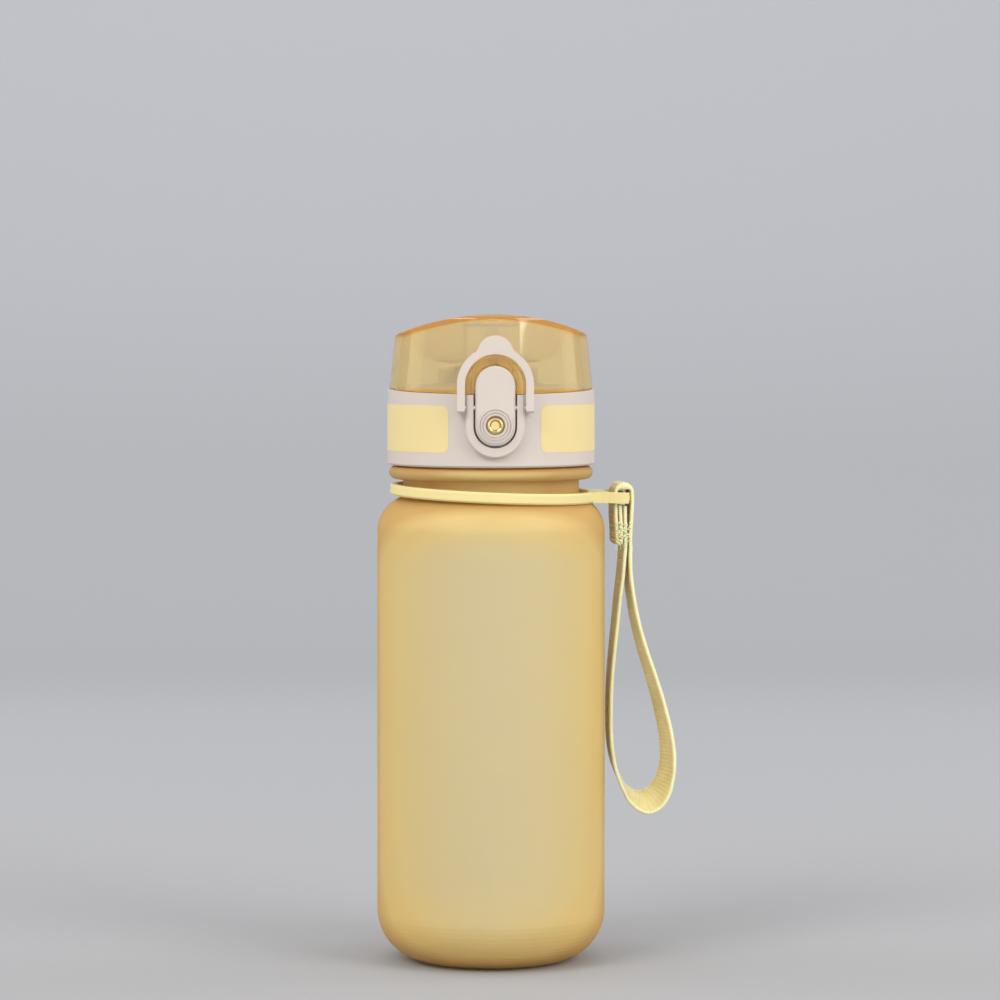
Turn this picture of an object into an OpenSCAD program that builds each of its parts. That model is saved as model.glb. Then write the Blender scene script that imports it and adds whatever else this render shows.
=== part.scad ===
// Kids flip-top water bottle: frosted body, screw cap with a sprung flip lid, push button and
// safety loop, a loose carry ring under the neck flange, and a webbing wrist strap.
// Origin: centre of the base. +Z is up, the push button faces -Y, the strap hangs on the +X side.

/* [Bottle] */
// Outside radius of the body
body_r = 32.5; // [32:0.1:33]
// Radius of the rounded bottom corner
base_corner_r = 14.5; // [12:0.5:16]
// Height where the straight side ends and the shoulder starts
shoulder_z = 122.5; // [121.5:0.1:123]
// Radius of the shoulder
shoulder_r = 10; // [9.8:0.1:10.2]
// Thickness of the side wall and the base
body_wall = 2; // [1.6:0.1:2.4]
// Outside radius of the bare neck below the flange
neck_r = 25.2; // [25:0.1:25.4]
// Outside radius of the neck flange
flange_r = 29.2; // [28.8:0.1:29.5]
// Height of the flange's underside
flange_z = 137.3; // [137:0.1:137.6]
// Thickness of the flange
flange_h = 3.7; // [3.4:0.1:3.7]
// Height of the mouth's rim
mouth_z = 156.6; // [156:0.1:156.6]
// Radius of the mouth's bore
mouth_bore_r = 22.6; // [21.5:0.1:22.8]

/* [Cap] */
// Outside radius of the cap's collar
collar_r = 29.6; // [29.4:0.1:29.8]
// Height of the collar's lower edge
collar_z = 141.4; // [141.2:0.1:141.6]
// Height of the parting plane between collar and lid, on the axis
parting_z = 163.1; // [162.8:0.1:163.4]
// Slope of the parting plane, up towards the hinge, in degrees
parting_tilt = 2.3; // [1.5:0.1:2.6]
// Outside radius of the drinking spout at its top
spout_r = 7.8; // [7.4:0.1:8]
// Height of the spout's lip
spout_z = 181.2; // [180.8:0.1:181.2]
// Radius of the spout's bore
spout_bore_r = 5.6; // [4:0.1:5.8]
// Rise of the screw thread in one turn (two starts)
thread_lead = 6; // [6:0.1:6.2]

/* [Lid] */
// Outside radius of the lid at its lower edge
lid_low_r = 29.1; // [29:0.1:29.2]
// Outside radius of the lid where the wall meets the arched top
lid_top_r = 27.6; // [27.4:0.1:27.8]
// Height where the wall meets the arched top, at the sides
lid_corner_z = 178.3; // [178:0.1:178.5]
// Height of the arched top in the middle
lid_top_z = 184.2; // [184:0.1:184.5]
// Thickness of the lid's wall
lid_wall = 1.8; // [1.6:0.1:2]
// Thickness of the lid's arched top
lid_ceiling = 1.5; // [1.4:0.1:1.6]
// Height of the lid's hinge pin
hinge_z = 167.6; // [167.4:0.1:167.8]
// Distance of the lid's hinge pin behind the axis
hinge_y = 27.6; // [27.5:0.1:27.7]

/* [Button and loop] */
// Width of the push button
button_w = 11.1; // [10.8:0.1:11.2]
// Height of the button's lower end
button_low_z = 147.5; // [147.4:0.1:147.8]
// Height of the button's upper end
button_high_z = 169.9; // [169.6:0.1:170]
// Width of the U-shaped bezel around the button
bezel_w = 16.6; // [16.4:0.1:16.6]
// Height of the bezel's lower end
bezel_low_z = 144.1; // [144:0.1:144.4]
// Height of the pivot pin that carries the button and the loop
pivot_z = 158.2; // [158:0.1:158.4]
// Inside width of the safety loop
loop_in_w = 17.1; // [17.1:0.1:17.3]
// Outside width of the safety loop
loop_out_w = 21.4; // [21.2:0.1:21.8]
// Height of the top of the loop's thumb tab
thumb_z = 178.4; // [177.5:0.1:179]

/* [Grip panels] */
// Height of the panels' lower edge
grip_low_z = 145.5; // [145:0.1:146]
// Height of the panels' upper edge
grip_high_z = 158.7; // [158:0.1:159]
// Angle from the front to a panel's front edge, in degrees
grip_from = 26; // [25:1:28]
// Angle from the front to a panel's rear edge, in degrees
grip_to = 142; // [130:1:144]

/* [Carry ring] */
// Outside radius of the carry ring
ring_r = 29.4; // [29.3:0.1:29.6]
// Height of the carry ring's section
ring_h = 3.1; // [3:0.1:3.1]
// Height of the ring's middle plane on the axis
ring_z = 133.25; // [133.2:0.01:133.3]
// Slope of the ring down towards the strap, in degrees
ring_dip = 2.33; // [2:0.01:2.4]
// Angle of the strap tab behind the +X axis, in degrees
tab_turn = 6; // [5:1:8]
// Width of the strap tab
tab_w = 14; // [13.6:0.1:15]

/* [Strap] */
// Width of the webbing
strap_w = 10; // [9.6:0.1:10]
// Thickness of the webbing
strap_t = 1.1; // [1:0.05:1.1]

/* [Hidden] */
$fn = 96;
eps = 0.1;

// Colours of the mouldings
amber = "#e8c468";
clear_amber = "#f0cf7a";
greige = "#d8cec6";
soft_yellow = "#ecda9e";
pale_yellow = "#f3e4a0";
steel = "#b8babd";
brass = "#c9a94e";
silicone = "#e9e6dc";

// Clearances and small radii
run = 0.05;             // radial clearance of a pin in its bore
pin_r = 0.75;           // both pins
bore_r = pin_r + run;
neck_fillet_r = 2.2;
finish_r = 24.7;        // neck above the flange, without its thread
thread_depth = 1.5;
thread_w = 1.05;
thread_starts = 2;
thread_turns = 1;
thread_steps = 20;      // steps in a turn
thread_z = 144.6;       // middle of the neck thread's lower end
skirt_r = 27.9;
skirt_in_r = 26.6;
skirt_z = 142;
deck_z = mouth_z + 2;   // underside of the inner cap's deck
deck_h = 1.6;
seal_gap = 0.05;
collar_wall = 1.5;
collar_in_r = collar_r - collar_wall;
lid_gap = 0.25;         // between the collar's rim and the lid's
grip_corner_r = 2.1;
grip_depth = 0.75;
grip_proud = 0.06;

// Button and loop, all measured along -Y from the axis
button_front_y = 32.2;
button_back_y = 29.8;
button_chamfer = 0.45;
button_gap = 0.55;
bezel_front_y = 31.3;
pocket_floor_y = 28.3;
pivot_y = 30.2;
pivot_boss_r = 1.45;
rivet_z = 153.3;
rivet_r = 2.5;
rivet_barrel_r = 1.7;
rivet_hole_r = 1.25;
lip_front_y = 30.4;
loop_front_y = 33.2;
loop_back_y = 31;
thumb_r = 5;
arc_z = 164.65;         // middle of the loop's arch

// Finger scoop above the hinge: a cylinder along X cut into the back of the lid
scoop_y = 29.5;
scoop_z = 191.3;
scoop_r = 20.6;

// Carry ring and its tab, along the tab's own axis
ring_width = 2.2;
ring_shift = 0.5;       // the strap's weight pulls the ring towards the tab
ring_pitch = 0.7;       // slope down towards the front, in degrees
bar_x = 37.85;          // middle of the bar that the webbing goes round
bar_w = 2.9;
bar_corner_r = 1.25;
slot_from = 33.4;
slot_l = 11;

// Sewn end of the webbing, along the tab's axis from the bar and down from its middle
fold_in_r = 1.8;        // from the bar's middle to the webbing
fold_top = 4.45;        // the arch stands loose above the bar
bar_z = ring_z - bar_x * sin(ring_dip) + bar_x * sin(tab_turn) * sin(ring_pitch);
fold_bottom = bar_z - 117.5;

// Middle of the webbing loop from the sewn end round and back, [distance along the tab's axis,
// height, how far the webbing leans out at its front edge in degrees]
loop_route = [
    [38.3, 117.5, 0], [38.0, 114, 0], [37.55, 109, 0], [36.8, 103, 0.5], [36.0, 95, 1],
    [35.15, 87, 1.5], [34.5, 79, 2], [34.25, 71, 2], [34.35, 63.5, 2.5], [35.0, 57.7, 3.5],
    [36.3, 52.9, 6], [38.5, 48.3, 11], [41.0, 45.3, 20], [43.2, 44.2, 29], [45.1, 43.9, 36],
    [46.95, 44.7, 35], [49.0, 46.9, 27], [50.7, 50.8, 18], [51.5, 56.5, 13], [50.85, 63.5, 11],
    [48.9, 72.1, 9], [46.6, 80, 7], [44.0, 88, 5], [42.0, 95.5, 3], [40.7, 102.5, 1.5],
    [39.9, 109, 0.5], [39.7, 114, 0], [39.8, 117.5, 0]];

function arc(cx, cy, r, from, to, n = 16) =
    [for (i = [0:n]) let (a = from + (to - from) * i / n) [cx + r * cos(a), cy + r * sin(a)]];

// Solid skin over a row of rings of points, closed at both ends
module skin(rings) {
    n = len(rings[0]);
    last = len(rings) - 1;
    sides = [for (i = [0:last - 1], j = [0:n - 1])
        let (a = i * n + j, b = a + n, c = (i + 1) * n + (j + 1) % n, d = i * n + (j + 1) % n)
        each [[a, b, c], [a, c, d]]];
    first_cap = [for (j = [1:n - 2]) [0, j, j + 1]];
    last_cap = [for (j = [1:n - 2]) [last * n, last * n + j + 1, last * n + j]];
    polyhedron([for (ring = rings) each ring], concat(first_cap, sides, last_cap));
}

// Two-start right-hand thread ridge between two radii, in short level steps
module thread(r_in, r_out, z_low) {
    step = 360 / thread_steps;
    for (start = [0:thread_starts - 1], i = [0:round(thread_turns * thread_steps) - 1])
        translate([0, 0, z_low + thread_lead * (i + 0.5) / thread_steps - thread_w / 2])
            rotate([0, 0, step * i + 360 * start / thread_starts])
                rotate_extrude(angle = step * 1.06) translate([r_in + 0.03 * (i % 2), 0])
                    square([r_out - r_in - 0.06 * (i % 2), thread_w]);
}

// Round wire along a list of points, with a frame that turns about the X or Y axis it winds round
module wire(path, r, sides = 8) {
    last = len(path) - 1;
    skin([for (i = [0:last])
        let (d = path[min(i + 1, last)] - path[max(i - 1, 0)],
             t = d / norm(d),
             side = cross(t, [0.36, 0.48, 0.8]),
             u = side / norm(side),
             v = cross(t, u))
        [for (k = [0:sides - 1]) path[i] + r * (cos(360 * k / sides) * u + sin(360 * k / sides) * v)]]);
}

// Everything below the parting plane raised by lift
module below_parting(lift) {
    translate([0, 0, parting_z + lift]) rotate([parting_tilt, 0, 0])
        translate([-60, -60, -120]) cube([120, 120, 120]);
}

// Upright slot shape that faces -Y, from depth y_in out to y_out, with a chamfered front edge
module stadium(w, z_low, z_high, y_in, y_out, chamfer = 0) {
    r = w / 2;
    straight = y_out - y_in - chamfer;
    for (z = [z_low + r, z_high - r])
        translate([0, -y_in, z]) rotate([90, 0, 0]) {
            cylinder(r = r, h = straight);
            if (chamfer > 0) translate([0, 0, straight]) cylinder(r1 = r, r2 = r - chamfer, h = chamfer);
        }
    translate([0, 0, z_low + r]) linear_extrude(z_high - z_low - 2 * r)
        polygon([[-r, -y_in], [-r, -y_out + chamfer], [-r + chamfer, -y_out],
                 [r - chamfer, -y_out], [r, -y_out + chamfer], [r, -y_in]]);
}

module along_x(x, y, z, r, l) {
    translate([x, y, z]) rotate([0, 90, 0]) cylinder(r = r, h = l, center = true);
}

module bottle_body() {
    corner_x = body_r - base_corner_r;
    shoulder_x = body_r - shoulder_r;
    fillet_x = neck_r + neck_fillet_r;
    reach = shoulder_r + neck_fillet_r;
    rise = sqrt(reach * reach - pow(fillet_x - shoulder_x, 2));
    meet = atan2(rise, fillet_x - shoulder_x);
    in_reach = shoulder_r - body_wall;
    bore_meet = acos((mouth_bore_r + 1 - shoulder_x) / in_reach);
    edge_r = flange_h / 2;
    outer = concat(
        [[0, 0]],
        arc(corner_x, base_corner_r, base_corner_r, -90, 0),
        arc(shoulder_x, shoulder_z, shoulder_r, 0, meet),
        arc(fillet_x, shoulder_z + rise, neck_fillet_r, 180 + meet, 180, 8),
        [[neck_r, flange_z]],
        arc(flange_r - edge_r, flange_z + edge_r, edge_r, -90, 90),
        [[finish_r, flange_z + flange_h], [finish_r, mouth_z - 0.6]],
        arc(finish_r - 0.6, mouth_z - 0.6, 0.6, 0, 90, 4));
    inner = concat(
        arc(mouth_bore_r + 0.5, mouth_z - 0.5, 0.5, 90, 180, 4),
        [[mouth_bore_r, shoulder_z + in_reach * sin(bore_meet) + 1]],
        arc(shoulder_x, shoulder_z, in_reach, bore_meet, 0),
        arc(corner_x, base_corner_r, base_corner_r - body_wall, 0, -90),
        [[0, body_wall]]);
    color(amber, 0.8) {
        rotate_extrude() polygon(concat(outer, inner));
        thread(finish_r - 0.3, finish_r + thread_depth, thread_z);
    }
}

module neck_seal() {
    color(silicone) translate([0, 0, mouth_z + seal_gap]) difference() {
        cylinder(r = finish_r, h = deck_z - mouth_z - 2 * seal_gap);
        translate([0, 0, -eps]) cylinder(r = mouth_bore_r - 0.3, h = deck_h + 1);
    }
}

module inner_cap() {
    color(greige) {
        difference() {
            translate([0, 0, skirt_z]) cylinder(r = skirt_r, h = deck_z + deck_h - skirt_z);
            translate([0, 0, skirt_z - eps]) cylinder(r = skirt_in_r, h = deck_z - skirt_z + eps);
            translate([0, 0, deck_z - eps]) cylinder(r = spout_bore_r, h = deck_h + 1);
        }
        thread(skirt_in_r - 1.3, skirt_in_r + 0.3, thread_z - thread_lead / 4);
    }
}

module drink_spout() {
    foot_r = spout_r + 1;
    foot_z = deck_z + deck_h;
    outline = concat(
        [[spout_bore_r, foot_z], [foot_r + 1.2, foot_z], [foot_r + 1.2, foot_z + 1],
         [foot_r, foot_z + 2], [spout_r + 0.35, spout_z - 8]],
        arc(spout_r - 1, spout_z - 1, 1, 0, 90, 6),
        arc(spout_bore_r + 0.7, spout_z - 0.7, 0.7, 90, 180, 6));
    color(greige) difference() {
        rotate_extrude() polygon(outline);
        // vent channel down the spout's front
        stadium(3.9, foot_z + 4, spout_z - 0.6, spout_r - 1.1, spout_r + 3);
    }
}

// A side panel's shape between two radii, on the +X side, with its corners rounded off
module grip_band(r_in, r_out) {
    r = grip_corner_r;
    corner = concat([[-0.5, -0.5], [r, -0.5]], arc(r, r, r, 265, 185, 5), [[-0.5, r]]);
    difference() {
        rotate([0, 0, grip_from - 90]) rotate_extrude(angle = grip_to - grip_from)
            translate([r_in, grip_low_z]) square([r_out - r_in, grip_high_z - grip_low_z]);
        for (end = [0, 1], top = [0, 1])
            rotate([0, 0, (end == 0 ? grip_from : grip_to) - 90])
                translate([r_in - 1, 0, top == 0 ? grip_low_z : grip_high_z])
                    mirror([0, end, 0]) mirror([0, 0, top])
                        rotate([90, 0, 90]) linear_extrude(r_out - r_in + 3) polygon(corner);
    }
}

module collar_shell() {
    lug_in = 7.9;
    lug_out = 15.3;
    lug_r = 1.9;
    color(greige) difference() {
        union() {
            intersection() {
                rotate_extrude() polygon([[0, collar_z], [collar_r - 0.5, collar_z],
                    [collar_r, collar_z + 0.5], [collar_r, parting_z + 3], [0, parting_z + 3]]);
                below_parting(0);
            }
            intersection() {
                stadium(bezel_w, bezel_low_z, parting_z + 20, collar_in_r - 3, bezel_front_y, 0.5);
                below_parting(0);
            }
            for (side = [-1, 1]) {
                along_x(side * (lug_in + lug_out) / 2, hinge_y, hinge_z, lug_r, lug_out - lug_in);
                translate([side * (lug_in + lug_out) / 2, hinge_y - 0.2, hinge_z - 4])
                    cube([lug_out - lug_in, 2 * lug_r - 0.4, 8], center = true);
            }
        }
        intersection() {
            translate([0, 0, collar_z - eps]) cylinder(r = collar_in_r, h = 40);
            below_parting(-1.6);
        }
        translate([0, 0, collar_z]) cylinder(r = spout_r + 2.4, h = 40);
        stadium(pocket_w(), pocket_low(), parting_z + 20, pocket_floor_y, 40);
        for (side = [0, 1]) mirror([side, 0, 0]) grip_band(collar_r - grip_depth, collar_r + 1);
        along_x(0, hinge_y, hinge_z, bore_r, 40);
        along_x(0, -pivot_y, pivot_z, bore_r, 24);
        // room for the lid's knuckles and the back edge of the open lid
        translate([-lug_in, hinge_y - 4, parting_z - 0.2]) cube([2 * lug_in, 10, 10]);
    }
}

function pocket_w() = button_w + 2 * button_gap;
function pocket_low() = button_low_z - button_gap;

module grip_panel(side) {
    color(soft_yellow) mirror([side, 0, 0])
        grip_band(collar_r - grip_depth, collar_r + grip_proud);
}

module grip_panel_left() {
    grip_panel(1);
}

module grip_panel_right() {
    grip_panel(0);
}

// The lid's solid shape: a leaning round wall under a top that is arched from side to side.
// shrink moves the wall in and drop moves the top down, for the hollow inside.
module lid_shape(shrink, drop, round_r) {
    slope = (lid_low_r - lid_top_r) / (lid_corner_z - parting_z);
    lean = atan(slope);
    rise = lid_top_z - lid_corner_z;
    arch_r = (lid_top_r * lid_top_r + rise * rise) / (2 * rise);
    arch_z = lid_top_z - arch_r;
    low_z = parting_z - 5;
    r = round_r;
    top_z = lid_top_z - drop + 0.1;
    rim_r = lid_top_r - shrink - slope * (lid_top_z - lid_corner_z);
    side_x = lid_top_r - shrink - r;
    side_z = arch_z + sqrt(pow(arch_r - drop - r, 2) - side_x * side_x);
    side_a = atan2(side_z - arch_z, side_x);
    right = concat([[lid_low_r + 2, low_z]], arc(side_x, side_z, r, lean, side_a, 6));
    left = [for (i = [len(right) - 1:-1:0]) [-right[i][0], right[i][1]]];
    intersection() {
        rotate_extrude() polygon(concat(
            [[0, low_z], [lid_low_r - shrink + 5 * slope, low_z]],
            arc(rim_r - r, top_z - r, r, lean, 90, 8), [[0, top_z]]));
        rotate([90, 0, 0]) linear_extrude(80, center = true)
            polygon(concat(right, arc(0, arch_z, arch_r - drop, side_a, 180 - side_a, 40), left));
    }
}

module flip_lid() {
    knuckle_x = 5.4;
    knuckle_w = 4;
    arch_top_z = 172.8;
    color(clear_amber, 0.4) difference() {
        union() {
            lid_shape(0, 0, 1.8);
            // arch that frames the top of the button
            stadium(bezel_w, parting_z - 14, arch_top_z, lid_top_r - 3, lip_front_y, 0.5);
        }
        difference() {
            lid_shape(lid_wall, lid_ceiling, 0.6);
            along_x(0, scoop_y, scoop_z, scoop_r + lid_ceiling, 80);
        }
        difference() {
            stadium(button_w + 0.8, parting_z - 14, arch_top_z - (bezel_w - button_w - 0.8) / 2,
                    lid_top_r - 1, 40);
            lid_shape(0.05, 0.05, 1.8);
        }
        below_parting(lid_gap);
        along_x(0, scoop_y, scoop_z, scoop_r, 80);
        // well around the hinge
        translate([-15.7, 24.9, parting_z - 2]) cube([31.4, 8, hinge_z + 2.35 - parting_z + 2]);
    }
    color(clear_amber, 0.4) for (side = [-1, 1]) difference() {
        union() {
            along_x(side * knuckle_x, hinge_y, hinge_z, 1.9, knuckle_w);
            translate([side * knuckle_x, hinge_y - 0.6, hinge_z + 1.4])
                cube([knuckle_w, 2.6, 2.8], center = true);
        }
        along_x(0, hinge_y, hinge_z, bore_r, 40);
    }
}

module spout_seal() {
    stem_z = spout_z + 0.5;
    color(silicone, 0.7) {
        translate([0, 0, spout_z + 0.05]) cylinder(r = spout_r + 0.4, h = 0.8);
        // low plug that fills the mouth of the spout
        translate([0, 0, spout_z - 0.7]) cylinder(r = spout_bore_r - 0.5, h = 1);
        translate([0, 0, stem_z]) cylinder(r = 4, h = lid_top_z - lid_ceiling - 0.15 - stem_z);
    }
}

module hinge_pin() {
    color(steel) along_x(0, hinge_y, hinge_z, pin_r, 30.2);
}

module hinge_spring() {
    turns = 5;
    steps = 14;
    coil_r = 1.35;
    pitch = 0.9;
    count = turns * steps;
    coil = [for (i = [0:count])
        [pitch * (i / steps - turns / 2), hinge_y + coil_r * sin(360 * i / steps - 90),
         hinge_z + coil_r * cos(360 * i / steps - 90)]];
    color(steel) wire(concat([coil[0] + [0, 0.2, -4.4], coil[0] + [0, 0.1, -2.2]], coil,
                             [coil[count] + [0, 0.1, 1.2]]), 0.25, 6);
}

module push_button() {
    ring_w = 0.42;
    color(greige) difference() {
        union() {
            stadium(button_w, button_low_z, button_high_z, button_back_y, button_front_y, button_chamfer);
            along_x(0, -pivot_y, pivot_z, pivot_boss_r, button_w - 0.4);
            // catch nose at the back of the upper end
            translate([-3, -button_back_y - 0.1, 166.4]) cube([6, 0.5, 1.2]);
            for (r = [3.3, 4.1, 4.9])
                translate([0, -button_front_y, rivet_z]) rotate([90, 0, 0]) difference() {
                    cylinder(r = r, h = 0.35);
                    translate([0, 0, -eps]) cylinder(r = r - ring_w, h = 1);
                }
        }
        translate([0, -button_back_y + 3, rivet_z]) rotate([90, 0, 0])
            cylinder(r = rivet_barrel_r + run, h = 9);
        translate([0, -button_front_y + 0.5, rivet_z]) rotate([90, 0, 0])
            cylinder(r = rivet_r + 0.15, h = 3);
        along_x(0, -pivot_y, pivot_z, bore_r, 24);
        // slight flat at the lower end
        translate([-6, -40, button_low_z - 1]) cube([12, 20, 1.15]);
    }
}

module button_rivet() {
    head = [[rivet_hole_r, 0], [rivet_r - 0.2, 0], [rivet_r, 0.25], [rivet_r - 0.35, 0.75],
            [rivet_r - 0.8, 0.85], [rivet_hole_r + 0.2, 0.7], [rivet_hole_r, 0.4]];
    color(brass) translate([0, -button_front_y + 0.5, rivet_z]) rotate([90, 0, 0]) {
        rotate_extrude() polygon(head);
        translate([0, 0, -1.9]) difference() {
            cylinder(r = rivet_barrel_r, h = 2.2);
            translate([0, 0, 0.5]) cylinder(r = rivet_hole_r, h = 3);
        }
    }
}

module button_spring() {
    turns = 3;
    steps = 16;
    coil_r = 2.3;
    from_y = pocket_floor_y + 0.2;
    length = button_back_y - pocket_floor_y - 0.4;
    color(steel) wire([for (i = [0:turns * steps])
        [coil_r * cos(360 * i / steps), -from_y - length * i / (turns * steps),
         rivet_z + coil_r * sin(360 * i / steps)]], 0.15, 6);
}

module pivot_pin() {
    color(steel) along_x(0, -pivot_y, pivot_z, pin_r, loop_out_w - 0.2);
}

module safety_loop() {
    outer = loop_out_w / 2;
    mid_r = (loop_in_w + loop_out_w) / 4;
    leg_w = (loop_out_w - loop_in_w) / 2;
    blend_r = 2;
    thumb_x = thumb_z - thumb_r - arc_z;
    blend_z = (thumb_x * thumb_x + pow(outer + blend_r, 2) - pow(thumb_r + blend_r, 2)) / (2 * thumb_x);
    blend_x = sqrt(pow(outer + blend_r, 2) - blend_z * blend_z);
    color(greige) difference() {
        union() {
            translate([0, -loop_back_y, arc_z]) rotate([90, 0, 0])
                linear_extrude(loop_front_y - loop_back_y) difference() {
                    union() {
                        circle(r = outer);
                        translate([0, thumb_x]) circle(r = thumb_r);
                        for (side = [-1, 1])
                            polygon([[side * 4, thumb_x - 1], [side * outer * 0.6, outer * 0.75],
                                     [side * blend_x, blend_z], [side * 4.2, thumb_x + 1.6]]);
                    }
                    circle(r = loop_in_w / 2);
                    translate([-20, -40]) square([40, 40]);
                    for (side = [-1, 1]) translate([side * blend_x, blend_z]) circle(r = blend_r);
                }
            for (side = [-1, 1]) translate([side * mid_r, 0, 0]) {
                along_x(0, -pivot_y, pivot_z, pivot_boss_r, leg_w);
                rotate([90, 0, 90]) translate([0, 0, -leg_w / 2]) linear_extrude(leg_w)
                    polygon([[-loop_front_y, arc_z + eps], [-loop_front_y, pivot_z - 0.8],
                             [-loop_front_y + 0.5, pivot_z - 1.3], [-pivot_y - 0.2, pivot_z - 1.4],
                             [-pivot_y + 1.2, pivot_z + 0.8], [-loop_back_y, pivot_z + 3],
                             [-loop_back_y, arc_z + eps]]);
            }
        }
        along_x(0, -pivot_y, pivot_z, bore_r, 30);
    }
}

// Puts a shape into the ring's own tilted plane
module in_ring_plane() {
    translate([0, 0, ring_z]) rotate([ring_pitch, ring_dip, 0]) rotate([0, 0, tab_turn]) children();
}

module carry_ring() {
    low = -ring_h / 2;
    in_r = ring_r - ring_width;
    end_x = bar_x + bar_w / 2;
    corner = 2;
    color(pale_yellow) in_ring_plane() {
        difference() {
            union() {
                translate([ring_shift, 0, 0]) rotate_extrude()
                    polygon([[in_r + 1.4, low], [ring_r - 0.5, low], [ring_r, low + 0.5],
                             [ring_r, -low - 0.5], [ring_r - 0.5, -low], [in_r + 0.3, -low],
                             [in_r, -low - 0.3], [in_r, low + 1.6]]);
                translate([ring_r - 0.4, -tab_w / 2, low]) cube([end_x - ring_r + 0.4 - corner, tab_w, ring_h]);
                translate([end_x - corner - 1, -tab_w / 2 + corner, low])
                    cube([corner + 1, tab_w - 2 * corner, ring_h]);
                for (side = [-1, 1])
                    translate([end_x - corner, side * (tab_w / 2 - corner), low]) cylinder(r = corner, h = ring_h);
                // gussets that blend the ring into the tab
                for (side = [-1, 1]) translate([0, 0, low]) linear_extrude(ring_h)
                    polygon([[28.2, side * 9.6], [29, side * 6], [33, side * 6], [33, side * 7],
                             [31, side * 7.35], [29.4, side * 8.3]]);
            }
            translate([slot_from, -slot_l / 2, low - 1])
                cube([bar_x - bar_w / 2 - slot_from + bar_corner_r, slot_l, ring_h + 2]);
            translate([bar_x, -slot_l / 2, low - 1]) cube([10, slot_l, ring_h + 2]);
        }
        // bar that the webbing goes round
        for (dx = [-1, 1], dz = [-1, 1])
            translate([bar_x + dx * (bar_w / 2 - bar_corner_r), 0, dz * (ring_h / 2 - bar_corner_r)])
                rotate([90, 0, 0]) cylinder(r = bar_corner_r, h = slot_l + 1, center = true);
        translate([bar_x, 0, 0]) cube([bar_w, slot_l + 1, ring_h - 2 * bar_corner_r], center = true);
        translate([bar_x, 0, 0]) cube([bar_w - 2 * bar_corner_r, slot_l + 1, ring_h], center = true);
    }
}

// Side outline of the sewn end, drawn with the bar's middle at the origin
module fold_outline() {
    out_r = fold_in_r + strap_t;
    arch_z = fold_top - out_r;
    difference() {
        polygon(concat(arc(0, arch_z, out_r, 0, 180, 20),
            [[-out_r, -fold_bottom + 1.6], [-out_r + 0.4, -fold_bottom + 0.8],
             [-0.2, -fold_bottom], [2.6, -fold_bottom]]));
        polygon(concat(arc(0, arch_z, fold_in_r, 0, 180, 16), [[-fold_in_r, -2.4], [fold_in_r, -2.4]]));
    }
}

// Stands a side outline up in the strap's own plane
module in_strap_plane(width) {
    rotate([0, 0, tab_turn]) translate([bar_x, width / 2, bar_z]) rotate([90, 0, 0])
        linear_extrude(width) children();
}

module strap_fold() {
    color(pale_yellow) in_strap_plane(strap_w) fold_outline();
}

module strap_stitching() {
    rows = 4;
    color(soft_yellow) rotate([0, 0, tab_turn]) translate([bar_x, 0, bar_z])
        for (x = [-3.08, 2.9], row = [0:rows - 1], column = [-2:2])
            translate([x, 1.8 * column, -9.2 - row * 0.95])
                rotate([90, 0, 0]) cylinder(r = 0.16, h = 1.3, center = true, $fn = 16);
}

// Flat webbing along a route in the strap's plane, leaning as the route says
module strap_loop() {
    last = len(loop_route) - 1;
    color(pale_yellow) rotate([0, 0, tab_turn]) skin([for (i = [0:last])
        let (p = loop_route[i], before = loop_route[max(i - 1, 0)], after = loop_route[min(i + 1, last)],
             d = [after[0] - before[0], after[1] - before[1]],
             n = [d[1], -d[0]] / norm(d),
             along = [-n[0] * sin(p[2]), cos(p[2]), -n[1] * sin(p[2])] * strap_w / 2,
             out = [n[0] * cos(p[2]), sin(p[2]), n[1] * cos(p[2])] * strap_t / 2,
             middle = [p[0], 0, p[1]])
        [middle + along - out, middle - along - out, middle - along + out, middle + along + out]]);
}

bottle_body();
neck_seal();
inner_cap();
drink_spout();
collar_shell();
grip_panel_left();
grip_panel_right();
flip_lid();
spout_seal();
hinge_pin();
hinge_spring();
push_button();
button_rivet();
button_spring();
pivot_pin();
safety_loop();
carry_ring();
strap_fold();
strap_stitching();
strap_loop();
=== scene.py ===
"""Looks for the children's flip-top bottle: webbing strap, frosted bottle, clear lid and cap."""
import math

import bpy
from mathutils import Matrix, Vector


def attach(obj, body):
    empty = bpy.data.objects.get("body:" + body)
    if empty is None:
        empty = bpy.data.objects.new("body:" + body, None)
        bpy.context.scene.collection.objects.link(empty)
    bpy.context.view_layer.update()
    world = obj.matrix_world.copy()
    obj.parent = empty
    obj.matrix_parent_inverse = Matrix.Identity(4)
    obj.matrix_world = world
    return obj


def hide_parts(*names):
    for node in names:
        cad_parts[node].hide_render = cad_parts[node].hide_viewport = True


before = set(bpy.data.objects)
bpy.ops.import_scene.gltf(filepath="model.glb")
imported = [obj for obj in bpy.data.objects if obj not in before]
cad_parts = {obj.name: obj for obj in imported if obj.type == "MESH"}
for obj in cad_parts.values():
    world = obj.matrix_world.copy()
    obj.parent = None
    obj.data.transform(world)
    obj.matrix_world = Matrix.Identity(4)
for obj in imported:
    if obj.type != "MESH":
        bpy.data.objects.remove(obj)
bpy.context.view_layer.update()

MM = 0.001

# ---------------------------------------------------------------- camera

CAMERA_AWAY = 1.145
CAMERA_HEIGHT = 0.1866
CAMERA_TURN = math.radians(2.2)


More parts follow.
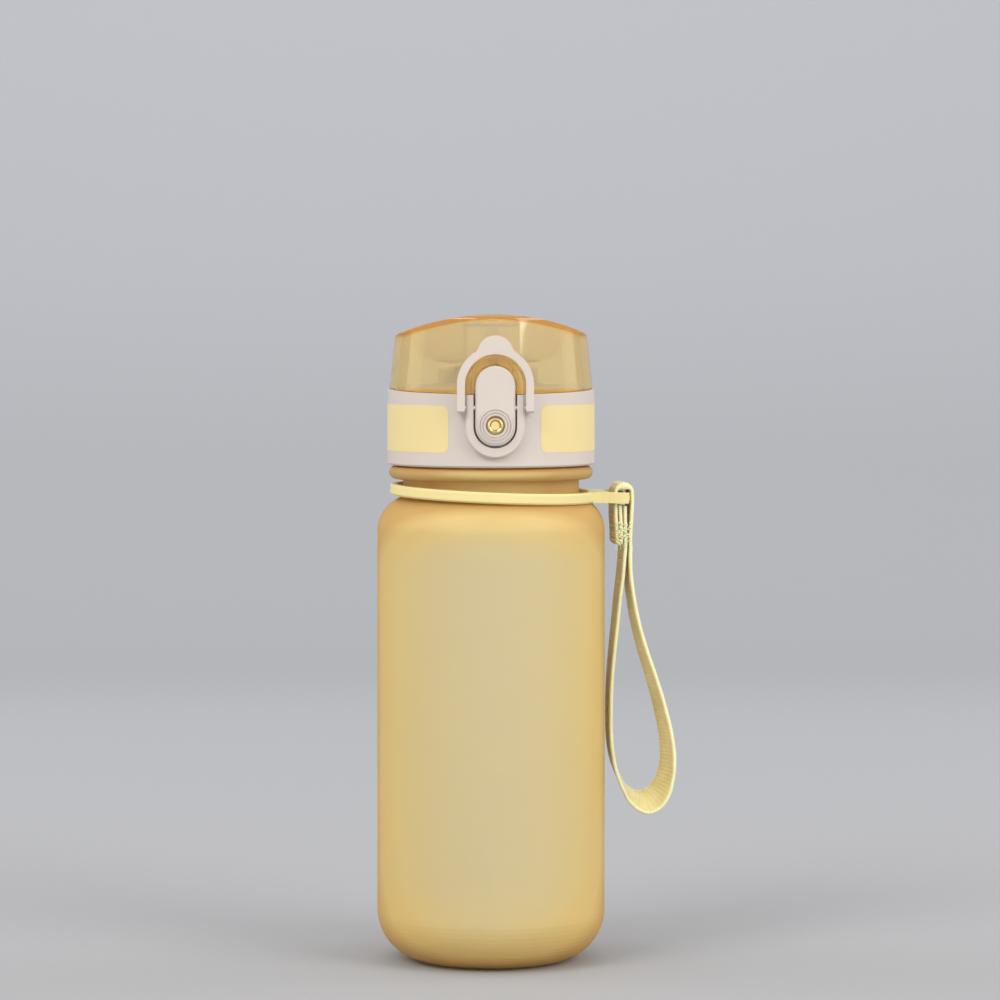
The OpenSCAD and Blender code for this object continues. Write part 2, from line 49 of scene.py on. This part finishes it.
def place_camera():
    """Long lens at the cap's height, level, a little to the left of the button."""
    data = bpy.data.cameras.new("camera")
    data.lens = 144
    data.sensor_width = 36
    data.shift_x = 0.009
    data.shift_y = -0.194
    camera = bpy.data.objects.new("camera", data)
    bpy.context.scene.collection.objects.link(camera)
    camera.location = (-CAMERA_AWAY * math.sin(CAMERA_TURN),
                       -CAMERA_AWAY * math.cos(CAMERA_TURN), CAMERA_HEIGHT)
    camera.rotation_euler = (math.radians(90), 0, -CAMERA_TURN)
    bpy.context.scene.camera = camera


place_camera()

# ---------------------------------------------------------------- mesh helpers


def mesh_piece(name, points, faces):
    """A smooth-shaded object made of these points and faces, linked into the scene."""
    mesh = bpy.data.meshes.new(name)
    mesh.from_pydata([tuple(p) for p in points], [], faces)
    mesh.validate()
    mesh.update()
    for polygon in mesh.polygons:
        polygon.use_smooth = True
    piece = bpy.data.objects.new(name, mesh)
    bpy.context.scene.collection.objects.link(piece)
    return piece


def skin(rings):
    """Points and faces of a closed skin over rings of equally many points."""
    n = len(rings[0])
    points = [p for ring in rings for p in ring]
    faces = [(i * n + j, i * n + (j + 1) % n, (i + 1) * n + (j + 1) % n, (i + 1) * n + j)
             for i in range(len(rings) - 1) for j in range(n)]
    faces.append(tuple(reversed(range(n))))
    faces.append(tuple((len(rings) - 1) * n + j for j in range(n)))
    return points, faces


def smooth_route(points, step):
    """A curve through the points, resampled at an even step: (places, directions)."""
    pts = [Vector(p) for p in points]
    pts = [2 * pts[0] - pts[1]] + pts + [2 * pts[-1] - pts[-2]]
    fine = []
    for i in range(1, len(pts) - 2):
        a, b, c, d = pts[i - 1:i + 3]
        for k in range(24):
            t = k / 24
            fine.append(0.5 * (2 * b + (c - a) * t + (2 * a - 5 * b + 4 * c - d) * t * t
                               + (3 * b - a - 3 * c + d) * t ** 3))
    fine.append(pts[-2])
    lengths = [0.0]
    for p, q in zip(fine, fine[1:]):
        lengths.append(lengths[-1] + (q - p).length)
    count = max(2, round(lengths[-1] / step))
    places, k = [], 0
    for i in range(count + 1):
        want = lengths[-1] * i / count
        while k < len(fine) - 2 and lengths[k + 1] < want:
            k += 1
        span = max(lengths[k + 1] - lengths[k], 1e-12)
        places.append(fine[k].lerp(fine[k + 1], (want - lengths[k]) / span))
    directions = [(places[min(i + 1, count)] - places[max(i - 1, 0)]).normalized() for i in range(count + 1)]
    return places, directions, lengths[-1]


# ---------------------------------------------------------------- wrist strap

TAB_TURN = math.radians(6)
TAB = Vector((math.cos(TAB_TURN), math.sin(TAB_TURN), 0))
ACROSS = Vector((-math.sin(TAB_TURN), math.cos(TAB_TURN), 0))
UP = Vector((0, 0, 1))
STRAP_WIDTH = 10 * MM
STRAP_THICK = 1.1 * MM
# Pitch of the ribs, columns of weave between the beaded edges, and width of an edge
RIB = 1.12 * MM
COLUMNS = 9
POINTS_PER_COLUMN = 3
EDGE = 0.62 * MM
# Pitch of the stitches along the edges, and how far out from the middle they run
EDGE_STITCH = 0.6 * MM
EDGE_OUT = 4.68 * MM
# Middle of the tab's bar, (distance along the tab's axis, height) in millimetres
BAR_X, BAR_Z = 37.85, 131.76

# Middle of the webbing, (distance along the tab's axis, height) in millimetres
TAIL = [(38.15, 129.3), (38.2, 125), (38.3, 121), (38.3, 117.5)]
# The same for the loop, with how far the webbing leans out at its front edge in degrees
LOOP = [
    (38.3, 117.5, 0), (38.0, 114, 0), (37.55, 109, 0), (36.8, 103, 0.5), (36.0, 95, 1),
    (35.15, 87, 1.5), (34.5, 79, 2), (34.25, 71, 2), (34.35, 63.5, 2.5), (35.0, 57.7, 3.5),
    (36.3, 52.9, 6), (38.5, 48.3, 11), (41.0, 45.3, 20), (43.2, 44.2, 29), (45.1, 43.9, 36),
    (46.95, 44.7, 35), (49.0, 46.9, 27), (50.7, 50.8, 18), (51.5, 56.5, 13), (50.85, 63.5, 11),
    (48.9, 72.1, 9), (46.6, 80, 7), (44.0, 88, 5), (42.0, 95.5, 3), (40.7, 102.5, 1.5),
    (39.9, 109, 0.5), (39.7, 114, 0), (39.8, 117.5, 0)]
ARCH_R = 2.35
ARCH_Z = BAR_Z + 1.55


def arch_thicken(a):
    """Extra thickness of the webbing, doubled up where it bends over the tab's bar."""
    return 1.3 * math.sin(a) ** 2


def arch_point(a):
    """Middle of the webbing at angle a round the tab's bar."""
    radius = ARCH_R - arch_thicken(a) / 2
    return BAR_X + radius * math.cos(a), ARCH_Z + radius * math.sin(a)


HEAD = ([(39.8, 117.5), (39.65, 119.2), (39.75, 122), (40.05, 126), (40.2, 130)]
        + [arch_point(math.radians(degrees)) for degrees in range(0, 181, 15)]
        + [(35.45, 129.5), (35.5, 126), (35.75, 122.6), (35.85, 119.9), (36.05, 118.95), (36.5, 118.6),
           (36.98, 118.95), (37.12, 119.9), (37.1, 122.6), (36.85, 126.2), (36.72, 129.6)])


def strap_at(u, z, v=0.0):
    """The point u along the tab's axis, z up and v across the strap, from millimetres."""
    return (TAB * u + UP * z + ACROSS * v) * MM


def webbing_section(s, width, thick):
    """Cross-section of ribbed webbing at length s along it: (across, out) offsets."""
    rib = 0.5 + 0.5 * math.cos(2 * math.pi * s / RIB)
    half_rib = 0.5 - 0.5 * math.cos(2 * math.pi * s / RIB)
    flat = width / 2 - EDGE
    out = []
    count = COLUMNS * POINTS_PER_COLUMN
    for face in (1, -1):
        for k in range(count + 1):
            t = k / count
            x = (-flat + 2 * flat * t) * face
            column = math.cos(math.pi * COLUMNS * t)
            grain = rib if column > 0 else half_rib
            lift = 0.10 * MM * rib + 0.07 * MM * grain * abs(column) ** 0.6
            out.append((x, face * (thick / 2 - 0.15 * MM + lift)))
        # beaded edge
        bead = (0.44 + 0.10 * half_rib) * MM
        for k in range(1, 6):
            a = math.radians(90 - 180 * k / 6)
            across = flat + 0.08 * MM + (EDGE - 0.1 * MM) * math.cos(a)
            out.append((face * across, face * bead * math.sin(a) * 1.05))
    return out


EDGE_SHELLS = []


def head_swell(p):
    """Thickness factor where the webbing doubles up over the bar."""
    u, z = p.dot(TAB) / MM - BAR_X, p.z / MM - ARCH_Z
    return 1 + arch_thicken(math.atan2(max(z, 0.0), u)) / (STRAP_THICK / MM) if z > 0 else 1.0


def lean_along(route):
    """How far the webbing leans, as a function of the fraction of its length."""
    ends = [0.0]
    for a, b in zip(route, route[1:]):
        ends.append(ends[-1] + math.hypot(b[0] - a[0], b[1] - a[1]))

    def lean(f):
        want = f * ends[-1]
        for i in range(len(route) - 1):
            if want <= ends[i + 1] or i == len(route) - 2:
                t = min((want - ends[i]) / (ends[i + 1] - ends[i]), 1.0)
                t = t * t * (3 - 2 * t) * 0.5 + t * 0.5
                return math.radians(route[i][2] * (1 - t) + route[i + 1][2] * t)
    return lean


def webbing(name, route, start_s, swell=None):
    """Webbing along a route in the strap's plane, ribs counted from start_s: (piece, path, length)."""
    lean = lean_along(route) if len(route[0]) > 2 else lambda f: 0.0
    places, directions, length = smooth_route([strap_at(p[0], p[1]) for p in route], RIB / 8)
    rings, edges = [], ([], [])
    for i, (p, d) in enumerate(zip(places, directions)):
        f = i / (len(places) - 1)
        inward = d.cross(ACROSS).normalized()
        across = ACROSS * math.cos(lean(f)) + inward * math.sin(lean(f))
        out = d.cross(across).normalized()
        grow = swell(p) if swell else 1.0
        s = start_s + length * f
        rings.append([p + across * x + out * y * grow
                      for x, y in webbing_section(s, STRAP_WIDTH, STRAP_THICK)])
        beads = 0.45 + 0.08 * math.cos(2 * math.pi * s / EDGE_STITCH)
        for side, edge in zip((-1, 1), edges):
            edge.append([p + across * side * EDGE_OUT
                         + (across * math.cos(a) + out * math.sin(a) * max(grow, 1.15)) * beads * MM
                         for a in (math.radians(45 * k + 40 * math.sin(s / EDGE_STITCH)) for k in range(8))])
    EDGE_SHELLS.extend(skin(edge) for edge in edges)
    return mesh_piece(name, *skin(rings)), places, length


tail, _, tail_length = webbing("strap_tail", TAIL, 0.0)
loop, loop_path, loop_length = webbing("strap_webbing_loop", LOOP, tail_length)
head, _, _ = webbing("strap_head", HEAD, tail_length + loop_length, swell=head_swell)


def stitch(points, radius, sides=7):
    """Thread along a few points in the strap's plane: (points, faces)."""
    places, directions, _ = smooth_route(points, 0.16 * MM)
    rings = []
    for i, (p, d) in enumerate(zip(places, directions)):
        side = d.cross(Vector((0.31, 0.42, 0.85))).normalized()
        up = d.cross(side)
        f = i / (len(places) - 1)
        r = radius * (1 - 0.35 * abs(2 * f - 1) ** 4)
        turns = [2 * math.pi * k / sides for k in range(sides)]
        rings.append([p + (side * math.cos(a) + up * math.sin(a)) * r for a in turns])
    return skin(rings)


def joined(name, shells):
    """One piece made of several closed skins."""
    points, faces = [], []
    for pts, fcs in shells:
        base = len(points)
        points += pts
        faces += [tuple(base + k for k in f) for f in fcs]
    return mesh_piece(name, points, faces)


def strap_stitches():
    """Lock stitches on the faces and round the edges of the sewn end, and loose ends at the fold."""
    shells = []
    for edge in (-1, 1):
        for row in range(9):
            for column in range(6):
                k = row * 6 + column
                u = 35.45 + column * 0.74 + 0.2 * math.sin(2.4 * k)
                z = 119.2 + row * 0.62 + 0.14 * math.sin(1.7 * k)
                slant = 0.3 if (row + column) % 2 else -0.25
                v = edge * (5.2 + 0.1 * math.sin(3.1 * k))
                shells.append(stitch([strap_at(u, z, v), strap_at(u + 0.22, z + slant * 0.5, v + edge * 0.08),
                                      strap_at(u + 0.48, z + slant, v)], 0.26 * MM))
    for side in (-1, 1):
        for row in range(5):
            z = 119.6 + row * 0.95
            u = 35.2 if side < 0 else 40.15 + 0.05 * row
            for column in range(6):
                v0 = -4.2 + column * 1.45
                ends = []
                for t in (0.0, 0.5, 1.0):
                    bulge = 0.12 if t == 0.5 else -0.12
                    ends.append(strap_at(u + side * bulge, z + 0.16 * t, v0 + 1.15 * t))
                shells.append(stitch(ends, 0.15 * MM))
    wisps = [[(35.9, 118.7, -4.6), (35.4, 117.6, -5.0), (35.6, 116.6, -5.1)],
             [(36.6, 118.5, -4.7), (36.8, 117.4, -5.2), (36.4, 116.9, -5.3)],
             [(37.2, 118.9, -4.6), (37.5, 118.0, -5.1), (37.3, 117.3, -5.0)]]
    for wisp in wisps:
        shells.append(stitch([strap_at(u, z, v) for u, z, v in wisp], 0.07 * MM, 5))
    return joined("strap_thread", shells)


stitches = strap_stitches()
edging = joined("strap_edging", EDGE_SHELLS)
for piece in (tail, loop, head, stitches, edging):
    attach(piece, "strap")
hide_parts("strap_loop")
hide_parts("strap_fold")
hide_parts("strap_stitching")

# ---------------------------------------------------------------- shader groups


def add(tree, kind, **values):
    """A shader node with these settings and socket values."""
    node = tree.nodes.new(kind)
    for key, value in values.items():
        if hasattr(node, key) and key not in node.inputs:
            setattr(node, key, value)
        else:
            node.inputs[key].default_value = value
    return node


def join(tree, out_node, out_name, in_node, in_name):
    """Links one node's named output to another's named input."""
    tree.links.new(out_node.outputs[out_name], in_node.inputs[in_name])


def group(name, inputs, outputs):
    """An empty shader node group with its sockets: (tree, input node, output node)."""
    tree = bpy.data.node_groups.new(name, "ShaderNodeTree")
    for label, kind, value in inputs:
        socket = tree.interface.new_socket(label, in_out="INPUT", socket_type=kind)
        socket.default_value = value
    for label, kind in outputs:
        tree.interface.new_socket(label, in_out="OUTPUT", socket_type=kind)
    return tree, tree.nodes.new("NodeGroupInput"), tree.nodes.new("NodeGroupOutput")


def moulded_grain():
    """Fine mould texture with a slow unevenness: a normal, and a mask that varies gloss and colour."""
    tree, given, out = group("moulded grain",
                             [("Scale", "NodeSocketFloat", 2500.0), ("Depth", "NodeSocketFloat", 0.3)],
                             [("Normal", "NodeSocketVector"), ("Mask", "NodeSocketFloat")])
    place = add(tree, "ShaderNodeTexCoord")
    fine = add(tree, "ShaderNodeTexNoise", Detail=3.0, Roughness=0.6)
    slow = add(tree, "ShaderNodeTexNoise", Scale=70.0, Detail=2.0, Roughness=0.5)
    bump = add(tree, "ShaderNodeBump", Distance=0.00012)
    mix = add(tree, "ShaderNodeMath", operation="MULTIPLY_ADD")
    mix.inputs[1].default_value = 0.35
    join(tree, place, "Object", fine, "Vector")
    join(tree, place, "Object", slow, "Vector")
    join(tree, given, "Scale", fine, "Scale")
    join(tree, given, "Depth", bump, "Strength")
    join(tree, fine, "Fac", bump, "Height")
    tree.links.new(fine.outputs["Fac"], mix.inputs[0])
    tree.links.new(slow.outputs["Fac"], mix.inputs[2])
    join(tree, bump, "Normal", out, "Normal")
    tree.links.new(mix.outputs[0], out.inputs["Mask"])
    return tree


GRAIN = moulded_grain()


def new_material(name):
    """A node material: (material, tree, shader, output)."""
    material = bpy.data.materials.new(name)
    material.use_nodes = True
    tree = material.node_tree
    return material, tree, tree.nodes["Principled BSDF"], tree.nodes["Material Output"]


def set_all(shader, **values):
    """Sets sockets on the shader itself; an underscore stands for a space."""
    for key, value in values.items():
        shader.inputs[key.replace("_", " ")].default_value = value


def put_grain(tree, scale, depth):
    """Places the moulded grain with its own scale and depth."""
    node = tree.nodes.new("ShaderNodeGroup")
    node.node_tree = GRAIN
    node.inputs["Scale"].default_value = scale
    node.inputs["Depth"].default_value = depth
    return node


def ramp(tree, stops):
    """Colour ramp through (position, colour) stops."""
    node = tree.nodes.new("ShaderNodeValToRGB")
    elements = node.color_ramp.elements
    while len(elements) > 1:
        elements.remove(elements[-1])
    elements[0].position, elements[0].color = stops[0][0], (*stops[0][1], 1)
    for position, color in stops[1:]:
        elements.new(position).color = (*color, 1)
    return node


def gloss_range(tree, rough):
    """Turns the grain's mask into roughness between two values."""
    node = add(tree, "ShaderNodeMapRange")
    for label, value in (("From Min", 0.3), ("From Max", 0.9), ("To Min", rough[0]), ("To Max", rough[1])):
        node.inputs[label].default_value = value
    return node


def grained(material_name, light, dark, rough, scale, depth, **settings):
    """Moulded plastic: colour and gloss vary a little with the grain's mask."""
    material, tree, shader, _ = new_material(material_name)
    grain = put_grain(tree, scale, depth)
    color = ramp(tree, [(0.35, dark), (0.85, light)])
    gloss = gloss_range(tree, rough)
    join(tree, grain, "Mask", color, "Fac")
    join(tree, grain, "Mask", gloss, "Value")
    join(tree, color, "Color", shader, "Base Color")
    join(tree, gloss, "Result", shader, "Roughness")
    join(tree, grain, "Normal", shader, "Normal")
    set_all(shader, **settings)
    return material


def math_node(tree, operation, *inputs):
    """One math step on sockets or plain numbers."""
    node = tree.nodes.new("ShaderNodeMath")
    node.operation = operation
    for k, value in enumerate(inputs):
        if isinstance(value, (int, float)):
            node.inputs[k].default_value = value
        else:
            tree.links.new(value, node.inputs[k])
    return node.outputs[0]


def between(tree, value, low, high):
    """0 at low, 1 at high, smooth in between."""
    node = tree.nodes.new("ShaderNodeMapRange")
    node.interpolation_type = "SMOOTHSTEP"
    node.inputs["From Min"].default_value = low
    node.inputs["From Max"].default_value = high
    tree.links.new(value, node.inputs["Value"])
    return node.outputs["Result"]


def tinted(name, stops, mask_of, rough, scale, depth, absorb, density, **settings):
    """Amber plastic whose tint deepens with a mask built from position and viewing angle."""
    material, tree, shader, output = new_material(name)
    grain = put_grain(tree, scale, depth)
    place = add(tree, "ShaderNodeTexCoord")
    parts = tree.nodes.new("ShaderNodeSeparateXYZ")
    facing = add(tree, "ShaderNodeLayerWeight", Blend=0.5)
    join(tree, place, "Object", parts, "Vector")
    mask = mask_of(tree, parts.outputs, facing.outputs["Facing"])
    uneven = math_node(tree, "MULTIPLY_ADD", grain.outputs["Mask"], 0.05, mask)
    color = ramp(tree, stops)
    tree.links.new(uneven, color.inputs["Fac"])
    gloss = gloss_range(tree, rough)
    join(tree, grain, "Mask", gloss, "Value")
    join(tree, color, "Color", shader, "Base Color")
    join(tree, gloss, "Result", shader, "Roughness")
    join(tree, grain, "Normal", shader, "Normal")
    set_all(shader, **settings)
    volume = add(tree, "ShaderNodeVolumeAbsorption", Color=(*absorb, 1), Density=density)
    join(tree, volume, "Volume", output, "Volume")
    return material


# Heights where the bottle's amber deepens, each from untinted to fully tinted, in metres
SHOULDER_FADE = (0.112, 0.135)
BASE_FADE = (0.030, 0.004)
# The lid's parts that are deeper amber: its arched top (by distance from this height, across the lid),
# its rim (by height) and the frame round the button (by how far it stands forward)
ARCH_MIDDLE_Z = 0.1167
ARCH_FADE = (0.0655, 0.0662)
RIM_FADE = (0.1637, 0.1627)
FRAME_FADE = (-0.0289, -0.0296)
# The scoop follows a cylinder along X: its axis, and the radii between which its tint fades in
SCOOP_MIDDLE_Y, SCOOP_MIDDLE_Z = 0.0295, 0.1913
SCOOP_FADE = (0.0229, 0.0220)


def frosted_mask(tree, xyz, facing):
    """Deeper amber at the shoulder and neck, at the base and toward the outline."""
    top = between(tree, xyz["Z"], *SHOULDER_FADE)
    low = between(tree, xyz["Z"], *BASE_FADE)
    mask = math_node(tree, "MULTIPLY_ADD", top, 0.72, facing)
    return math_node(tree, "MULTIPLY_ADD", low, 0.3, mask)


def lid_mask(tree, xyz, facing):
    """Deeper amber in the arched top plate, the rim, the scoop, the button's frame and the outline."""
    high = math_node(tree, "SUBTRACT", xyz["Z"], ARCH_MIDDLE_Z)
    square = math_node(tree, "MULTIPLY_ADD", xyz["X"], xyz["X"], math_node(tree, "MULTIPLY", high, high))
    plate = between(tree, math_node(tree, "SQRT", square), *ARCH_FADE)
    rim = between(tree, xyz["Z"], *RIM_FADE)
    frame_part = between(tree, xyz["Y"], *FRAME_FADE)
    back = math_node(tree, "SUBTRACT", xyz["Y"], SCOOP_MIDDLE_Y)
    up = math_node(tree, "SUBTRACT", xyz["Z"], SCOOP_MIDDLE_Z)
    away = math_node(tree, "MULTIPLY_ADD", back, back, math_node(tree, "MULTIPLY", up, up))
    scoop = between(tree, math_node(tree, "SQRT", away), *SCOOP_FADE)
    deep = math_node(tree, "MULTIPLY", math_node(tree, "MAXIMUM", plate, rim), 0.85)
    deep = math_node(tree, "MAXIMUM", deep, math_node(tree, "MULTIPLY", scoop, 0.6))
    deep = math_node(tree, "MAXIMUM", deep, math_node(tree, "MULTIPLY", frame_part, 0.78))
    return math_node(tree, "MAXIMUM", deep, math_node(tree, "MULTIPLY", facing, facing))


def frosted_amber():
    stops = [(0.0, (0.86, 0.77, 0.47)), (0.15, (0.90, 0.79, 0.44)), (0.41, (0.97, 0.80, 0.355)),
             (0.62, (1.0, 0.77, 0.29)), (0.74, (1.0, 0.77, 0.28)), (1.0, (0.86, 0.56, 0.17))]
    return tinted("frosted_amber", stops, frosted_mask, (0.44, 0.52), 2600.0, 0.25, (0.985, 0.78, 0.32), 70.0,
                  IOR=1.5, Transmission_Weight=0.55, Specular_IOR_Level=0.4)


def clear_amber():
    stops = [(0.0, (1.0, 0.91, 0.60)), (0.4, (1.0, 0.87, 0.48)), (0.75, (1.0, 0.74, 0.24)),
             (1.0, (1.0, 0.62, 0.13))]
    return tinted("clear_amber", stops, lid_mask, (0.02, 0.05), 300.0, 0.02, (1.0, 0.74, 0.16), 100.0,
                  IOR=1.49, Transmission_Weight=0.8)


def webbing_cloth(name, light, dark):
    """Woven polyester: colour varies with fibres along the cloth and a slow unevenness, soft sheen."""
    material, tree, shader, _ = new_material(name)
    place = add(tree, "ShaderNodeTexCoord")
    stretch = add(tree, "ShaderNodeMapping")
    stretch.inputs["Scale"].default_value = (5200.0, 5200.0, 1300.0)
    fibres = add(tree, "ShaderNodeTexNoise", Scale=1.0, Detail=4.0, Roughness=0.65)
    worn = add(tree, "ShaderNodeTexNoise", Scale=160.0, Detail=2.0)
    mix = add(tree, "ShaderNodeMath", operation="MULTIPLY_ADD")
    mix.inputs[1].default_value = 0.5
    color = ramp(tree, [(0.45, dark), (0.95, light)])
    bump = add(tree, "ShaderNodeBump", Strength=0.5, Distance=0.0001)
    join(tree, place, "Object", stretch, "Vector")
    join(tree, stretch, "Vector", fibres, "Vector")
    join(tree, place, "Object", worn, "Vector")
    tree.links.new(fibres.outputs["Fac"], mix.inputs[0])
    tree.links.new(worn.outputs["Fac"], mix.inputs[2])
    tree.links.new(mix.outputs[0], color.inputs["Fac"])
    join(tree, color, "Color", shader, "Base Color")
    join(tree, fibres, "Fac", bump, "Height")
    join(tree, bump, "Normal", shader, "Normal")
    set_all(shader, Roughness=0.62, Sheen_Weight=0.25, Sheen_Roughness=0.4,
            Subsurface_Weight=0.35, Subsurface_Scale=0.0015)
    return material


greige = grained("satin_greige", (0.62, 0.54, 0.472), (0.59, 0.512, 0.446), (0.36, 0.46), 2400.0, 0.2,
                 Specular_IOR_Level=0.45, Subsurface_Weight=0.08, Subsurface_Scale=0.002)
grip_yellow = grained("soft_touch_yellow", (0.78, 0.62, 0.292), (0.755, 0.597, 0.268), (0.5, 0.6),
                      3200.0, 0.3, Specular_IOR_Level=0.3, Sheen_Weight=0.08)
ring_yellow = grained("ring_yellow", (0.80, 0.673, 0.30), (0.77, 0.645, 0.273), (0.34, 0.44), 2400.0, 0.18,
                      Subsurface_Weight=0.15, Subsurface_Scale=0.002)
silicone = grained("milky_silicone", (0.84, 0.80, 0.70), (0.80, 0.76, 0.66), (0.4, 0.5), 2000.0, 0.15,
                   Transmission_Weight=0.3, Subsurface_Weight=0.3, Subsurface_Scale=0.003)
steel = grained("bright_steel", (0.72, 0.72, 0.73), (0.62, 0.62, 0.64), (0.22, 0.32),
                6000.0, 0.15, Metallic=1.0)
brass = grained("polished_brass", (0.83, 0.66, 0.30), (0.76, 0.58, 0.24), (0.16, 0.26),
                6000.0, 0.12, Metallic=1.0)
frosted = frosted_amber()
clear = clear_amber()
strap_cloth = webbing_cloth("strap_webbing", (0.80, 0.695, 0.345), (0.66, 0.555, 0.225))
thread_cloth = webbing_cloth("strap_thread", (0.95, 0.87, 0.55), (0.85, 0.76, 0.41))

for piece in (tail, loop, head):
    piece.data.materials.append(strap_cloth)
for piece in (stitches, edging):
    piece.data.materials.append(thread_cloth)

# drink_spout isn't listed and keeps the plain finish that it is packed with
FINISHES = {
    "bottle_body": frosted, "neck_seal": silicone, "inner_cap": greige, "collar_shell": greige,
    "grip_panel_left": grip_yellow, "grip_panel_right": grip_yellow, "flip_lid": clear,
    "spout_seal": silicone, "hinge_pin": steel, "hinge_spring": steel, "push_button": greige,
    "button_rivet": brass, "button_spring": steel, "pivot_pin": steel, "safety_loop": greige,
    "carry_ring": ring_yellow, "strap_fold": strap_cloth, "strap_stitching": thread_cloth,
    "strap_loop": strap_cloth}
for node, material in FINISHES.items():
    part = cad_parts[node]
    for slot in part.material_slots:
        slot.material = material

# ---------------------------------------------------------------- floor and light


FLOOR_FRONT, FLOOR_BACK, FLOOR_HALF_WIDTH = -1.6, 0.9, 4
SWEEP_RADIUS, SWEEP_STEPS, WALL_TOP = 0.9, 24, 3.2


def stage_piece():
    """Floor that curves up into a plain backdrop, its colour painted with shade: darker toward the front of
    the floor, lighter further back and up the wall, over a faint mottle.
    """
    profile = [(FLOOR_FRONT, 0.0), (FLOOR_BACK, 0.0)]
    for k in range(1, SWEEP_STEPS + 1):
        a = math.radians(90 * k / SWEEP_STEPS)
        profile.append((FLOOR_BACK + SWEEP_RADIUS * math.sin(a), SWEEP_RADIUS - SWEEP_RADIUS * math.cos(a)))
    profile.append((FLOOR_BACK + SWEEP_RADIUS, WALL_TOP))
    points, faces = [], []
    for y, z in profile:
        points += [(-FLOOR_HALF_WIDTH, y, z), (FLOOR_HALF_WIDTH, y, z)]
    for i in range(len(profile) - 1):
        faces.append((2 * i, 2 * i + 1, 2 * i + 3, 2 * i + 2))
    piece = mesh_piece("backdrop", points, faces)
    material, tree, shader, _ = new_material("backdrop_paper_painted_shade")
    place = add(tree, "ShaderNodeTexCoord")
    noise = add(tree, "ShaderNodeTexNoise", Scale=900.0, Detail=3.0)
    parts = tree.nodes.new("ShaderNodeSeparateXYZ")
    mottle_and_painted_shade = add(tree, "ShaderNodeMath", operation="MULTIPLY_ADD")
    mottle_and_painted_shade.inputs[1].default_value = 0.06
    # Painted shade: a quarter of the depth plus the height, with a faint mottle, picks the colour, so the
    # floor darkens toward the front and the wall lightens higher up
    depth = math_node(tree, "MULTIPLY_ADD", parts.outputs["Y"], 0.25, mottle_and_painted_shade.outputs[0])
    color = ramp(tree, [(0.02, (0.365, 0.358, 0.36)), (0.07, (0.39, 0.384, 0.388)),
                        (0.195, (0.44, 0.438, 0.446)), (0.45, (0.425, 0.425, 0.438)),
                        (0.62, (0.465, 0.466, 0.482)), (0.9, (0.50, 0.50, 0.517))])
    join(tree, place, "Object", noise, "Vector")
    join(tree, place, "Object", parts, "Vector")
    tree.links.new(noise.outputs["Fac"], mottle_and_painted_shade.inputs[0])
    tree.links.new(parts.outputs["Z"], mottle_and_painted_shade.inputs[2])
    tree.links.new(depth, color.inputs["Fac"])
    join(tree, color, "Color", shader, "Base Color")
    set_all(shader, Roughness=0.7, Specular_IOR_Level=0.2)
    piece.data.materials.append(material)


def softbox(name, place, target, size, power, mirrored=True):
    """Rectangular lamp aimed at a target; mirrored says whether glossy surfaces reflect it."""
    data = bpy.data.lights.new(name, "AREA")
    data.shape = "RECTANGLE"
    data.size, data.size_y = size
    data.energy = power
    lamp = bpy.data.objects.new(name, data)
    bpy.context.scene.collection.objects.link(lamp)
    lamp.location = place
    lamp.visible_glossy = mirrored
    lamp.rotation_euler = (Vector(target) - Vector(place)).to_track_quat("-Z", "Y").to_euler()


stage_piece()
world = bpy.data.worlds.new("studio")
bpy.context.scene.world = world
world.use_nodes = True
world.node_tree.nodes["Background"].inputs["Color"].default_value = (0.93, 0.96, 1.0, 1)
world.node_tree.nodes["Background"].inputs["Strength"].default_value = 0.80
softbox("key", (-1.0, -1.1, 1.3), (0, 0, 0.1), (0.9, 0.9), 15.5)
softbox("fill", (1.1, -1.0, 0.9), (0, 0, 0.1), (0.9, 0.9), 12.5)
softbox("low", (0, -1.4, 0.3), (0, 0, 0.05), (1.6, 0.5), 1.8)
softbox("top", (0, 0.1, 1.7), (0, 0, 0.1), (1.2, 1.2), 5.5)
for side in (-1, 1):
    softbox("side", (1.2 * side, 0.35, 0.5), (0, 0, 0.08), (0.6, 0.9), 3.0, mirrored=False)
bpy.context.scene.view_settings.view_transform = "Standard"
